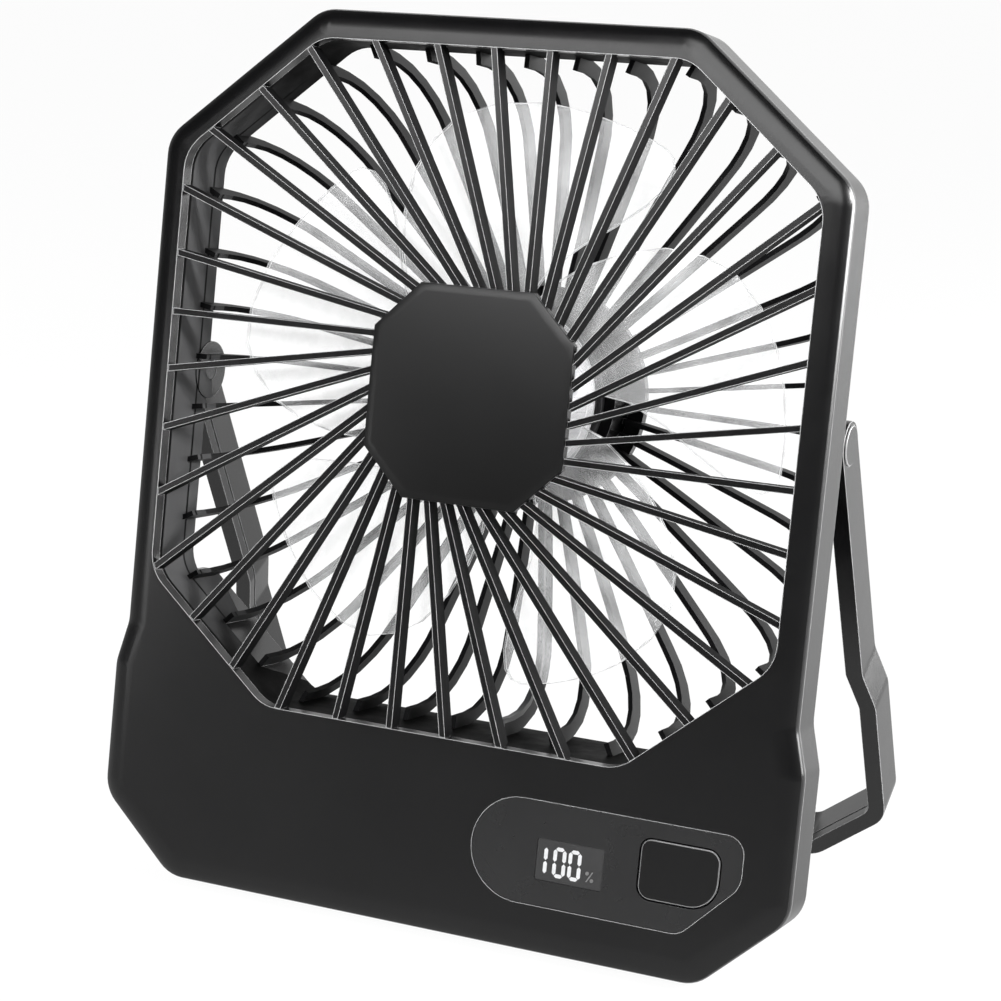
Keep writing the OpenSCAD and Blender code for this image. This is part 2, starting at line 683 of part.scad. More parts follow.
// Segments of one digit: two on each side, one at the top and one at the bottom
module digit(left, upright_only) {
    x0 = left + segment_w / 2;
    x1 = left + digit_w - segment_w / 2;
    z1 = digit_top - segment_w / 2;
    z0 = digit_top - digit_h + segment_w / 2;
    middle = (z0 + z1) / 2;
    segment([x1, z1], [x1, middle]);
    segment([x1, middle], [x1, z0]);
    if (!upright_only) {
        segment([x0, z1], [x0, middle]);
        segment([x0, middle], [x0, z0]);
        segment([x0, z1], [x1, z1]);
        segment([x0, z0], [x1, z0]);
    }
}
module percent_sign() {
    low = digit_top - digit_h + 0.4;
    for (p = [[0.45, percent_h - 0.45], [1.65, 0.45]]) translate([percent_left, low] + p) circle(0.42);
    polygon([[percent_left + 0.2, low], [percent_left + 0.5, low], [percent_left + 1.9, low + percent_h],
        [percent_left + 1.6, low + percent_h]]);
}
digit_proud = 0.15;
module display_digits() color("white") place() slab(lens_front - digit_proud, lens_front) {
    for (i = [0 : 2]) digit(digit_left[i], i == 0);
    percent_sign();
}

module display_module() color("#151516") place() slab(panel_t, board_d) window_shape(0.4);

module control_board() color("#1f6b3a") place()
    box([board_left, board_right], [board_d, board_d + pcb_t], [board_bottom, board_top]);

button_x = button_left + button_w / 2;
button_z = button_top - button_h / 2;
flange_d = plate + pad_behind + 0.1;
button_flange_t = 1;
plunger_r = 1.8;
switch_half = 3;
switch_t = 1.8;
knob_t = 0.3;
knob_front = board_d - switch_t - knob_t;
module tact_switch() color("#2a2a2c") place() {
    box([button_x - switch_half, button_x + switch_half], [board_d - switch_t, board_d],
        [button_z - switch_half, button_z + switch_half]);
    disc_at([button_x, button_z], plunger_r, knob_front, board_d - switch_t);
}

module power_button() color("#2f2f31") place() {
    slab(0, flange_d + button_flange_t) button_shape(0);
    slab(flange_d, flange_d + button_flange_t) button_shape(-1.2);
    disc_at([button_x, button_z], plunger_r, flange_d + button_flange_t - cut, knob_front - button_travel - fit);
}

// ---- case: feet and pivots ----
foot_x = bottom_flat_half - 9.5;
foot_t = 2;
module below_floor() translate([-body_drop, -body_drop, -body_drop]) cube([2 * body_drop, 2 * body_drop, body_drop]);
module base_feet() color("#1a1a1b") difference() {
    place() both() box([foot_x - foot_l, foot_x], [band_rear - foot_w, band_rear], [-body_drop - foot_t, -body_drop]);
    below_floor();
}

head_seat = body_half - bar_t + 2.3;
pin_head_t = 1;
module at_pivot() place() both() translate([0, pivot_depth, pivot_z]) children();
module pivot_pins() color("#a0a3a7") at_pivot() {
    across(pin_r, [house_half - lobe_in, head_seat + fit]);
    across(pin_head_r, [head_seat + fit, head_seat + fit + pin_head_t]);
}

washer_r = 5;
module pivot_washers() color("#d9d9d2") at_pivot() difference() {
    across(washer_r, [house_half, house_half + side_gap - run_gap]);
    across(pin_r + fit, [house_half - cut, house_half + side_gap]);
}

// ---- stand: turns on the pivot pins ----
cap_t = 1;
cap_seat = body_half - 0.6;
module stand() color("#262627") place_stand() difference() {
    union() {
        slab(-bar_depth / 2, bar_depth / 2) difference() {
            polygon(stand_outer);
            polygon(inset_open(bar_t));
        }
        both() across(bar_depth / 2, [body_half - bar_t, body_half]);
    }
    slab(groove_at, groove_at + groove_w) difference() {
        polygon(inset_open(bar_t - groove_t));
        polygon(inset_open(bar_t + 1));
        translate([-body_half, -bar_depth]) square([2 * body_half, 2 * bar_depth]);
    }
    both() across(pin_r + fit, [body_half - bar_t - cut, body_half + cut]);
    both() across(pin_head_r + 0.3, [head_seat, body_half + cut]);
    both() across(cap_r + fit, [cap_seat, body_half + cut]);
}
stand_radii = [0, stand_r, stand_r, stand_r, stand_r];
stand_all = concat(stand_radii, reversed(stand_radii));
groove_at = -3;
groove_w = 0.5;
groove_t = 0.4;
stand_outer = rounded(stand_points, stand_all);
// The same outline drawn in, and left open at the top between the two arms
function inset_open(by) = let (points = inset(stand_points, by), last = len(points) - 1)
    rounded([for (i = [0 : last]) i == 0 || i == last ? [points[i][0], 1] : points[i]], shrunk(stand_all, by));

pad_half = 50;
pad_front = 0.3;
pad_back = 5.3;
pad_t = 4;
module stand_pad() color("#1a1a1b") difference() {
    place_stand() box([-pad_half, pad_half], [pad_front - bar_depth / 2, pad_back - bar_depth / 2],
        [-stand_length - pad_t, -stand_length]);
    below_floor();
}

module pivot_caps() color("#2a2a2b") place_stand() both() across(cap_r, [cap_seat, cap_seat + cap_t]);

// ---- rotor: turns in the bearings ----
// Blade planform: share of the way from root to tip, angle of the trailing edge and of the leading edge
blade_root_r = hub_r - 1;
blade_tip_r = open_half - blade_room;
blade_plan = [[0, 0, 57], [0.21, -6, 52], [0.38, -13, 46], [0.55, -19, 40], [0.72, -22.5, 34], [0.84, -23.5, 28],
    [0.93, -23, 22], [0.98, -21.5, 14], [1, -19, 5]];
blade_steps = 9;
function blade_depth(off) = blade_mid - blade_sweep * sin(1.5 * off);
function blade_row(station, side) = [for (k = [0 : blade_steps])
    let (off = station[1] + (station[2] - station[1]) * k / blade_steps,
        r = blade_root_r + station[0] * (blade_tip_r - blade_root_r))
    [r * cos(off), blade_depth(off) + side * blade_t / 2, r * sin(off)]];
module blade() {
    rows = len(blade_plan);
    n = blade_steps + 1;
    half = rows * n;
    front = [for (s = blade_plan) each blade_row(s, -1)];
    back = [for (s = blade_plan) each blade_row(s, 1)];
    // Triangles, so that both faces of the twisted blade bend along the same diagonals
    grid = [for (j = [0 : rows - 2]) each [for (i = [0 : n - 2])
        let (a = j * n + i, b = a + 1, c = b + n, d = a + n) each [[a, b, c], [a, c, d]]]];
    rim = concat([for (i = [0 : n - 2]) i], [for (j = [0 : rows - 2]) j * n + n - 1],
        [for (i = [n - 1 : -1 : 1]) (rows - 1) * n + i], [for (j = [rows - 1 : -1 : 1]) j * n]);
    polyhedron(concat(front, back), concat(grid, [for (f = grid) [for (i = [2 : -1 : 0]) f[i] + half]],
        [for (i = [0 : len(rim) - 1]) let (a = rim[i], b = rim[(i + 1) % len(rim)]) [b, a, a + half, b + half]]));
}

module impeller() color("#e9ecee") place() {
    difference() {
        disc(hub_r, hub_front, hub_rear);
        disc(can_r, can_front, hub_rear + cut);
    }
    around(blade_count, blade_turn) blade();
}

module rotor_can() color("#b4b7bb") place() difference() {
    disc(can_r, can_front, can_rear);
    disc(can_r - can_wall, can_front + can_wall, can_rear + cut);
    disc(shaft_r, can_front - cut, can_front + can_wall + cut);
}

module rotor_magnets() color("#4a4a4d") place()
    ring(can_r - can_wall, can_r - can_wall - magnet_t, stator_front - 1, can_rear - 0.5);

shaft_end = flange_front - 0.3;
module motor_shaft() color("#c4c6c9") place() disc(shaft_r, can_front, shaft_end);

module shaft_clip() color("#3c3c3e") place()
    ring(bearing_r - 0.9, shaft_r, bearing_back + bearing_l + 0.2, bearing_back + bearing_l + 0.9);

front_cover();
rear_shell();
motor_base();
motor_bearings();
motor_board();
stator_core();
stator_coils();
motor_screws();
battery_cells();
battery_cradle();
battery_strips();
wiring();
motor_lead();
control_panel();
display_window();
display_digits();
display_module();
control_board();
tact_switch();
charge_board();
usb_socket();
case_screws();
base_feet();
pivot_pins();
pivot_washers();
impeller();
rotor_can();
rotor_magnets();
motor_shaft();
shaft_clip();
stand();
stand_pad();
pivot_caps();
power_button();
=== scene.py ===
import bpy
import json
import math
from mathutils import Matrix, Vector


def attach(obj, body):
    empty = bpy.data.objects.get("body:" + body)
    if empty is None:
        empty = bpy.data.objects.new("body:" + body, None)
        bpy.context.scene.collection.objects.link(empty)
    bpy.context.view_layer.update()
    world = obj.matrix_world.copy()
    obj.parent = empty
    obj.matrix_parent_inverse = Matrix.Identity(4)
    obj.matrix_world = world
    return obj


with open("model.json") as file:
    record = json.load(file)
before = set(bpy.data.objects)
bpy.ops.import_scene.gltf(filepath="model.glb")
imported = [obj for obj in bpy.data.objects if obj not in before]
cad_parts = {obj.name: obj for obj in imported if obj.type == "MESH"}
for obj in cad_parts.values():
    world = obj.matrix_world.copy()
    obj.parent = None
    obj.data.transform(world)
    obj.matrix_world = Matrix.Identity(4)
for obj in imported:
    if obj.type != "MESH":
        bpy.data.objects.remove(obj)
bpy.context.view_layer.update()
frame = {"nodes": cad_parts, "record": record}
solid = frame["nodes"]


# ---- Camera ----
# A long lens from the front, a little above the fan and to its right, so that
# the grille, the controls, one side and the stand all show.
camera = bpy.data.objects.new("camera", bpy.data.cameras.new("camera"))
camera.data.sensor_width = 36.0
camera.data.lens = 89.73
camera.data.clip_start = 0.05
camera_place = (0.22801, -0.536282, 0.241411)
camera_right = Vector((0.914321, 0.40401, 0.02817))
camera_up = Vector((-0.123879, 0.212774, 0.969217))
camera_back = Vector((0.38558, -0.889665, 0.244592))
camera_turn = Matrix((camera_right, camera_up, camera_back)).transposed().to_4x4()
camera.matrix_world = Matrix.Translation(camera_place) @ camera_turn
bpy.context.scene.collection.objects.link(camera)
bpy.context.scene.camera = camera
bpy.context.scene.view_settings.view_transform = "Standard"


# ---- Studio ----
# A white paper sweep that the camera and the glossy parts see as plain white,
# a room that is bright behind the fan and dim in front, and soft lamps.
floor_half = 8.0
full_white = (1, 1, 1, 1)
paper_tone = (0.86, 0.86, 0.86, 1)
paper_white_share = 0.95
paper_front_y = -0.3
paper_behind_y = 0.3
paper_front_light = 0.5
paper_behind_light = 1.0
room_front_y = -0.3
room_behind_y = 0.5
room_front_light = 0.05
room_behind_light = 1.0
fan_middle = Vector((0, -0.01, 0.11))


def cleared(owner):
    owner.use_nodes = True
    tree = owner.node_tree
    tree.nodes.clear()
    return tree


def put(tree, kind, **settings):
    node = tree.nodes.new(kind)
    for name, value in settings.items():
        setattr(node, name, value)
    return node


def join(tree, source, target):
    tree.links.new(source, target)


def combined(tree, operation, first, second):
    both = put(tree, "ShaderNodeMath", operation=operation)
    join(tree, first, both.inputs[0])
    join(tree, second, both.inputs[1])
    return both.outputs[0]


def component(tree, vector, axis):
    axes = put(tree, "ShaderNodeSeparateXYZ")
    join(tree, vector, axes.inputs[0])
    return axes.outputs[axis]


# Maps start to end onto low to high
def spread(tree, value, low, high, start=0.35, end=0.65, curve="LINEAR"):
    reach = put(tree, "ShaderNodeMapRange", interpolation_type=curve)
    reach.inputs["From Min"].default_value = start
    reach.inputs["From Max"].default_value = end
    reach.inputs["To Min"].default_value = low
    reach.inputs["To Max"].default_value = high
    join(tree, value, reach.inputs["Value"])
    return reach.outputs[0]


def blended(tree, amount, first, second):
    blend = put(tree, "ShaderNodeMixShader")
    join(tree, amount, blend.inputs[0])
    join(tree, first, blend.inputs[1])
    join(tree, second, blend.inputs[2])
    return blend.outputs[0]


def output(tree, surface):
    join(tree, surface, put(tree, "ShaderNodeOutputMaterial").inputs["Surface"])


sweep_paint = bpy.data.materials.new("sweep_paint")
tree = cleared(sweep_paint)
rays = put(tree, "ShaderNodeLightPath")
seen = combined(tree, "MAXIMUM", rays.outputs["Is Camera Ray"], rays.outputs["Is Glossy Ray"])
seen = combined(tree, "MAXIMUM", seen, rays.outputs["Is Transmission Ray"])
share = put(tree, "ShaderNodeMath", operation="MULTIPLY")
share.inputs[1].default_value = paper_white_share
join(tree, seen, share.inputs[0])
paper = put(tree, "ShaderNodeBsdfDiffuse")
paper.inputs["Color"].default_value = paper_tone
plain_white = put(tree, "ShaderNodeEmission")
plain_white.inputs["Color"].default_value = full_white
spot_y = component(tree, put(tree, "ShaderNodeNewGeometry").outputs["Position"], "Y")
paper_light = spread(tree, spot_y, paper_front_light, paper_behind_light, paper_front_y, paper_behind_y)
strength = combined(tree, "MAXIMUM", paper_light, rays.outputs["Is Camera Ray"])
join(tree, strength, plain_white.inputs["Strength"])
output(tree, blended(tree, share.outputs[0], paper.outputs[0], plain_white.outputs[0]))

floor_mesh = bpy.data.meshes.new("floor")
floor_corners = [(-floor_half, -floor_half, 0), (floor_half, -floor_half, 0),
    (floor_half, floor_half, 0), (-floor_half, floor_half, 0)]
floor_mesh.from_pydata(floor_corners, [], [(0, 1, 2, 3)])
floor_mesh.materials.append(sweep_paint)
floor = bpy.data.objects.new("floor", floor_mesh)
bpy.context.scene.collection.objects.link(floor)

world = bpy.data.worlds.new("studio")
bpy.context.scene.world = world
tree = cleared(world)
toward_y = component(tree, put(tree, "ShaderNodeTexCoord").outputs["Generated"], "Y")
room_light = spread(tree, toward_y, room_front_light, room_behind_light,
    room_front_y, room_behind_y, "SMOOTHSTEP")
room = put(tree, "ShaderNodeBackground")
room.inputs["Color"].default_value = full_white
join(tree, room_light, room.inputs["Strength"])
backdrop = put(tree, "ShaderNodeBackground")
backdrop.inputs["Color"].default_value = full_white
rays = put(tree, "ShaderNodeLightPath")
sky = blended(tree, rays.outputs["Is Camera Ray"], room.outputs[0], backdrop.outputs[0])
join(tree, sky, put(tree, "ShaderNodeOutputWorld").inputs["Surface"])


def soft_lamp(name, where, size, watts, mirrored=True):
    lamp = bpy.data.objects.new(name, bpy.data.lights.new(name, "AREA"))
    lamp.data.shape = "RECTANGLE"
    lamp.data.size, lamp.data.size_y = size
    lamp.data.energy = watts
    turn = (Vector(where) - fan_middle).to_track_quat("Z", "Y").to_matrix().to_4x4()
    lamp.matrix_world = Matrix.Translation(where) @ turn
    lamp.visible_glossy = mirrored
    bpy.context.scene.collection.objects.link(lamp)


soft_lamp("key_lamp", (0.80, -0.37, 0.57), (0.16, 0.16), 18)
soft_lamp("front_lamp", (-0.28, -1.10, 0.62), (0.25, 0.25), 18, mirrored=False)
soft_lamp("side_lamp", (0.75, 0.75, 0.25), (0.5, 0.6), 17)
soft_lamp("top_card", (-0.30, -0.75, 0.48), (0.38, 0.26), 1.45)
soft_lamp("corner_card", (0.11, -0.75, 0.64), (0.56, 0.50), 4.4)
soft_lamp("left_card", (-0.60, -0.75, 0.12), (0.12, 0.16), 0.3)


# ---- Rear shell ----
# The back half of the case, injection moulded in charcoal ABS in one piece: the
# side band, the air duct, the domed grille of thin upright ribs and the hub
# that carries the motor. Fine spark-eroded grain outside, bare mould inside.
spin = next(joint for joint in frame["record"]["behaviour"]["joints"] if joint["name"] == "fan_spin")
spin_depth = 0.020
across = Vector((1, 0, 0))
back = Vector(spin["axis"])
up = across.cross(back)
fan_front = Vector(spin["pos_m"]) - spin_depth * back

charcoal_dark = (0.0010, 0.0010, 0.0011)
charcoal_light = (0.0016, 0.0016, 0.0017)
charcoal_rough = 0.24
charcoal_shine = 0.45
edge_reach = 0.00042
# Painted highlight: the light grey laid along the case's sharp edges
edge_highlight_tone = (0.26, 0.26, 0.262)
edge_full_turn = 0.80
edge_no_turn = 0.97
bump_strength = 0.3
grain_depth = 0.00001
weld_reach = 0.000005
flat_turn = math.radians(0.6)


def noise(tree, size, detail=2.0, rough=0.5, stretch=(1, 1, 1)):
    spots = put(tree, "ShaderNodeTexNoise", noise_dimensions="3D")
    spots.inputs["Scale"].default_value = 1 / size
    spots.inputs["Detail"].default_value = detail
    spots.inputs["Roughness"].default_value = rough
    laid = put(tree, "ShaderNodeMapping")
    laid.inputs["Scale"].default_value = stretch
    join(tree, put(tree, "ShaderNodeTexCoord").outputs["Object"], laid.inputs["Vector"])
    join(tree, laid.outputs[0], spots.inputs["Vector"])
    return spots.outputs["Fac"]


# A tone from first to second, each a plain colour or what another node gives
def between(tree, amount, first, second):
    mix = put(tree, "ShaderNodeMix", data_type="RGBA")
    join(tree, amount, mix.inputs["Factor"])
    for side, tone in (("A", first), ("B", second)):
        if isinstance(tone, tuple):
            mix.inputs[side].default_value = (*tone, 1)
        else:
            join(tree, tone, mix.inputs[side])
    return mix.outputs["Result"]


def bumped(tree, body, height, depth):
    bump = put(tree, "ShaderNodeBump")
    bump.inputs["Strength"].default_value = bump_strength
    bump.inputs["Distance"].default_value = depth
    join(tree, height, bump.inputs["Height"])
    join(tree, bump.outputs[0], body.inputs["Normal"])


# How close a point lies to a sharp edge, from 0 on the flat to 1 at the edge, by
# how far the normal of an edge that is eased there still agrees with the face's
def edge_highlight_mask(tree, reach):
    eased = put(tree, "ShaderNodeBevel", samples=8)
    eased.inputs["Radius"].default_value = reach
    turned = put(tree, "ShaderNodeVectorMath", operation="DOT_PRODUCT")
    join(tree, eased.outputs[0], turned.inputs[0])
    join(tree, put(tree, "ShaderNodeNewGeometry").outputs["Normal"], turned.inputs[1])
    return spread(tree, turned.outputs["Value"], 1, 0, edge_full_turn, edge_no_turn)


# A moulded plastic; edge, where given, is a painted highlight laid in that tone along its sharp edges
def plastic(name, dark, light, rough, grain=0.0003, depth=grain_depth, shine=0.5, edge=None):
    material = bpy.data.materials.new(name)
    tree = cleared(material)
    body = put(tree, "ShaderNodeBsdfPrincipled")
    body.inputs["Specular IOR Level"].default_value = shine
    cloud = spread(tree, noise(tree, 0.025, 4.0, 0.6), 0, 1)
    tone = between(tree, cloud, dark, light)
    if edge:
        tone = between(tree, edge_highlight_mask(tree, edge_reach), tone, edge)
    join(tree, tone, body.inputs["Base Color"])
    scuffs = noise(tree, 0.006, 3.0, 0.5)
    join(tree, spread(tree, scuffs, rough - 0.02, rough + 0.02, 0.2, 0.8), body.inputs["Roughness"])
    bumped(tree, body, noise(tree, grain), depth)
    output(tree, body.outputs[0])
    return material


# The case's sharp edges carry a painted highlight in a light grey
case_charcoal = plastic("case_charcoal", charcoal_dark, charcoal_light, charcoal_rough,
    shine=charcoal_shine, edge=edge_highlight_tone)
rib_side = plastic("rib_side", (0.008, 0.008, 0.0082), (0.012, 0.012, 0.0122), 0.5, shine=0.08)
bare_mould = plastic("bare_mould", (0.003, 0.003, 0.0032), (0.005, 0.005, 0.0052), 0.5, shine=0.03)


# A point's place, measured from the middle of the fan's front face
def from_front(tree, position):
    off = put(tree, "ShaderNodeVectorMath", operation="SUBTRACT")
    off.inputs[1].default_value = fan_front
    join(tree, position, off.inputs[0])
    return off.outputs[0]


# How far a vector reaches in a fixed direction
def reach_along(tree, vector, direction):
    reach = put(tree, "ShaderNodeVectorMath", operation="DOT_PRODUCT")
    reach.inputs[1].default_value = direction
    join(tree, vector, reach.inputs[0])
    return reach.outputs["Value"]


# Painted shade: the duct walls stay near black from the front to the ribs' feet, where shade falls.
# From there back they turn grey towards the sides, with a dark joint where the halves meet
duct_shaded_depth = 0.0046
shade_fade = 0.0001
case_joint_depth = 0.0147
joint_dark_half = 0.0003
joint_half = 0.0005
duct_side_start = 0.055
duct_side_full = 0.075
duct_wall = bpy.data.materials.new("duct_wall")
tree = cleared(duct_wall)
body = put(tree, "ShaderNodeBsdfPrincipled")
body.inputs["Specular IOR Level"].default_value = 0.03
where = put(tree, "ShaderNodeTexCoord").outputs["Object"]
depth = reach_along(tree, from_front(tree, where), back)
past_painted_shade = spread(tree, depth, 0, 1, duct_shaded_depth - shade_fade, duct_shaded_depth + shade_fade)
before_joint = spread(tree, depth, 1, 0, case_joint_depth - joint_half, case_joint_depth - joint_dark_half)
after_joint = spread(tree, depth, 0, 1, case_joint_depth + joint_dark_half, case_joint_depth + joint_half)
clear_of_joint = combined(tree, "MAXIMUM", before_joint, after_joint)
off_centre = put(tree, "ShaderNodeMath", operation="ABSOLUTE")
join(tree, component(tree, where, "X"), off_centre.inputs[0])
at_sides = spread(tree, off_centre.outputs[0], 0, 1, duct_side_start, duct_side_full)
wall_grey = combined(tree, "MULTIPLY", combined(tree, "MULTIPLY", past_painted_shade, clear_of_joint), at_sides)
tone = between(tree, wall_grey, (0.001, 0.001, 0.001), (0.050, 0.050, 0.0508))
join(tree, tone, body.inputs["Base Color"])
join(tree, spread(tree, noise(tree, 0.006, 5.0, 0.65), 0.5, 0.62), body.inputs["Roughness"])
bumped(tree, body, noise(tree, 0.0005), grain_depth)
output(tree, body.outputs[0])


# An empty modifier, with the socket its mesh comes in by and the one it leaves by
def mesh_tree(name):
    tree = bpy.data.node_groups.new(name, "GeometryNodeTree")
    for way in ("INPUT", "OUTPUT"):
        tree.interface.new_socket("Geometry", in_out=way, socket_type="NodeSocketGeometry")
    return tree, put(tree, "NodeGroupInput").outputs[0], put(tree, "NodeGroupOutput").inputs[0]


# Smooth faces, with every edge that turns by more than this kept crisp
crisp_turn = math.radians(26)
crisp, mesh_in, mesh_out = mesh_tree("crisp_edges")
all_smooth = put(crisp, "GeometryNodeSetShadeSmooth", domain="FACE")
join(crisp, mesh_in, all_smooth.inputs["Geometry"])
sharp = put(crisp, "FunctionNodeCompare", data_type="FLOAT", operation="GREATER_THAN")
sharp.inputs[1].default_value = crisp_turn
turn = put(crisp, "GeometryNodeInputMeshEdgeAngle")
join(crisp, turn.outputs["Unsigned Angle"], sharp.inputs[0])
kept_sharp = put(crisp, "GeometryNodeSetShadeSmooth", domain="EDGE")
kept_sharp.inputs["Shade Smooth"].default_value = False
join(crisp, all_smooth.outputs[0], kept_sharp.inputs["Geometry"])
join(crisp, sharp.outputs[0], kept_sharp.inputs["Selection"])
join(crisp, kept_sharp.outputs[0], mesh_out)


def both(tree, first, second):
    agreed = put(tree, "FunctionNodeBooleanMath", operation="AND")
    join(tree, first, agreed.inputs[0])
    join(tree, second, agreed.inputs[1])
    return agreed.outputs[0]


def within(tree, value, low, high):
    over = put(tree, "FunctionNodeCompare", data_type="FLOAT", operation="GREATER_THAN")
    under = put(tree, "FunctionNodeCompare", data_type="FLOAT", operation="LESS_THAN")
    over.inputs[1].default_value = low
    under.inputs[1].default_value = high
    join(tree, value, over.inputs[0])
    join(tree, value, under.inputs[0])
    return both(tree, over.outputs[0], under.outputs[0])


# Gives a slot to the faces whose turn to the back and outward, and depth, lie in a range
def faces_at(name, slot_number, backward, outward, depths):
    tree, mesh_in, mesh_out = mesh_tree(name)
    normal = put(tree, "GeometryNodeInputNormal").outputs[0]
    off = from_front(tree, put(tree, "GeometryNodeInputPosition").outputs[0])
    depth = reach_along(tree, off, back)
    along = put(tree, "ShaderNodeVectorMath", operation="SCALE")
    along.inputs[0].default_value = back
    join(tree, depth, along.inputs["Scale"])
    from_axis = put(tree, "ShaderNodeVectorMath", operation="SUBTRACT")
    join(tree, off, from_axis.inputs[0])
    join(tree, along.outputs[0], from_axis.inputs[1])
    outwards = put(tree, "ShaderNodeVectorMath", operation="NORMALIZE")
    join(tree, from_axis.outputs[0], outwards.inputs[0])
    out_turn = put(tree, "ShaderNodeVectorMath", operation="DOT_PRODUCT")
    join(tree, normal, out_turn.inputs[0])
    join(tree, outwards.outputs[0], out_turn.inputs[1])
    turned_back = within(tree, reach_along(tree, normal, back), *backward)
    turned_out = within(tree, out_turn.outputs["Value"], *outward)
    chosen = both(tree, both(tree, turned_back, turned_out), within(tree, depth, *depths))
    given = put(tree, "GeometryNodeSetMaterialIndex")
    given.inputs["Material Index"].default_value = slot_number
    join(tree, mesh_in, given.inputs["Geometry"])
    join(tree, chosen, given.inputs["Selection"])
    join(tree, given.outputs[0], mesh_out)
    return tree


# Marks the edges to round: those that turn far enough and aren't too short for it
rounded_turn = math.radians(30)
shortest_edge = 0.00035
longest_edge = 1.0
marked, mesh_in, mesh_out = mesh_tree("marked_edges")
turn = put(marked, "GeometryNodeInputMeshEdgeAngle")
turns_enough = within(marked, turn.outputs["Unsigned Angle"], rounded_turn, math.pi)
ends = put(marked, "GeometryNodeInputMeshEdgeVertices")
length = put(marked, "ShaderNodeVectorMath", operation="DISTANCE")
join(marked, ends.outputs["Position 1"], length.inputs[0])
join(marked, ends.outputs["Position 2"], length.inputs[1])
long_enough = within(marked, length.outputs["Value"], shortest_edge, longest_edge)
weight = put(marked, "GeometryNodeStoreNamedAttribute", data_type="FLOAT", domain="EDGE")
weight.inputs["Name"].default_value = "bevel_weight_edge"
weight.inputs["Value"].default_value = 1.0
join(marked, mesh_in, weight.inputs["Geometry"])
join(marked, both(marked, turns_enough, long_enough), weight.inputs["Selection"])
join(marked, weight.outputs[0], mesh_out)


# Cleans a moulded piece's faces and rounds its edges a little, unless round_by is 0.
# Slot 1 of a rounded piece, if any, goes on its rounded edges: painted highlights on charcoal, the blades'
# denser rim.
def dress(name, finishes, round_by=0.0003, rules=()):
    piece = solid[name]
    piece.data.materials.clear()
    for material in finishes:
        piece.data.materials.append(material)
    whole = piece.modifiers.new("whole", "WELD")
    whole.merge_threshold = weld_reach
    flat = piece.modifiers.new("flat", "DECIMATE")
    flat.decimate_type = "DISSOLVE"
    flat.angle_limit = flat_turn
    if round_by:
        piece.modifiers.new("marked", "NODES").node_group = marked
        rounding = piece.modifiers.new("rounding", "BEVEL")
        rounding.width = round_by
        rounding.segments = 2
        rounding.limit_method = "WEIGHT"
        rounding.use_clamp_overlap = False
        if len(finishes) > 1:
            rounding.material = 1
    piece.modifiers.new("crisp", "NODES").node_group = crisp
    for rule in rules:
        piece.modifiers.new(rule.name, "NODES").node_group = rule
    evened = piece.modifiers.new("evened", "WEIGHTED_NORMAL")
    evened.keep_sharp = True


# How much a face's normal points back or outward, from -1 to 1, with some margin
facing_front = (-1.1, -0.1)
facing_axis = (-1.1, -0.6)
edge_on = (-0.4, 0.4)
level = (-0.3, 0.3)
any_way = (-1.1, 1.1)
duct_front_depth = 0.0020
duct_rear_depth = 0.0197
grille_front_depth = 0.0100
grille_rear_depth = 0.0490
duct_faces = faces_at("duct_faces", 1, level, facing_axis, (duct_front_depth, duct_rear_depth))
grille_fronts = faces_at("grille_fronts", 2, facing_front, any_way, (grille_front_depth, grille_rear_depth))
grille_sides = faces_at("grille_sides", 3, edge_on, edge_on, (duct_rear_depth, grille_rear_depth))
dress("rear_shell", [case_charcoal, duct_wall, bare_mould, rib_side], 0,
    rules=[grille_sides, grille_fronts, duct_faces])


# ---- Motor ----
# An outrunner: a turned flange with its tube and two bronze bearings, a round
# board, a pressed lamination stack with nine enamelled copper windings.
def metal(name, dark, light, rough, stretch=(1, 1, 1), size=0.0006):
    material = bpy.data.materials.new(name)
    tree = cleared(material)
    body = put(tree, "ShaderNodeBsdfPrincipled")
    body.inputs["Metallic"].default_value = 1.0
    lines = noise(tree, size, 3.0, 0.6, stretch)
    join(tree, between(tree, spread(tree, lines, 0, 1), dark, light), body.inputs["Base Color"])
    dull = noise(tree, 0.004, 4.0, 0.6)
    join(tree, spread(tree, dull, rough - 0.07, rough + 0.07), body.inputs["Roughness"])
    bumped(tree, body, lines, grain_depth)
    output(tree, body.outputs[0])
    return material


def circuit(name, lacquer, track):
    material = bpy.data.materials.new(name)
    tree = cleared(material)
    body = put(tree, "ShaderNodeBsdfPrincipled")
    tracks = put(tree, "ShaderNodeTexBrick")
    tracks.inputs["Scale"].default_value = 220
    tracks.inputs["Mortar Size"].default_value = 0.035
    tracks.inputs["Color1"].default_value = (*lacquer, 1)
    tracks.inputs["Color2"].default_value = (*[1.25 * part for part in lacquer], 1)
    tracks.inputs["Mortar"].default_value = (*track, 1)
    join(tree, put(tree, "ShaderNodeTexCoord").outputs["Object"], tracks.inputs["Vector"])
    join(tree, tracks.outputs["Color"], body.inputs["Base Color"])
    join(tree, spread(tree, noise(tree, 0.003), 0.25, 0.4), body.inputs["Roughness"])
    bumped(tree, body, tracks.outputs["Fac"], 0.00003)
    output(tree, body.outputs[0])
    return material


turned_steel = metal("turned_steel", (0.42, 0.42, 0.43), (0.56, 0.56, 0.57), 0.3)
bronze = metal("bronze", (0.40, 0.27, 0.11), (0.55, 0.39, 0.18), 0.45, size=0.0003)
laminations = metal("laminations", (0.18, 0.18, 0.19), (0.42, 0.42, 0.43), 0.4, stretch=(0.05, 2, 0.05))
windings = metal("windings", (0.30, 0.10, 0.03), (0.66, 0.28, 0.11), 0.3, stretch=(0.1, 1, 0.1), size=0.0004)
black_board = circuit("black_board", (0.004, 0.004, 0.004), (0.012, 0.012, 0.012))
dark_flange = plastic("dark_flange", (0.020, 0.020, 0.021), (0.028, 0.028, 0.029), 0.45)

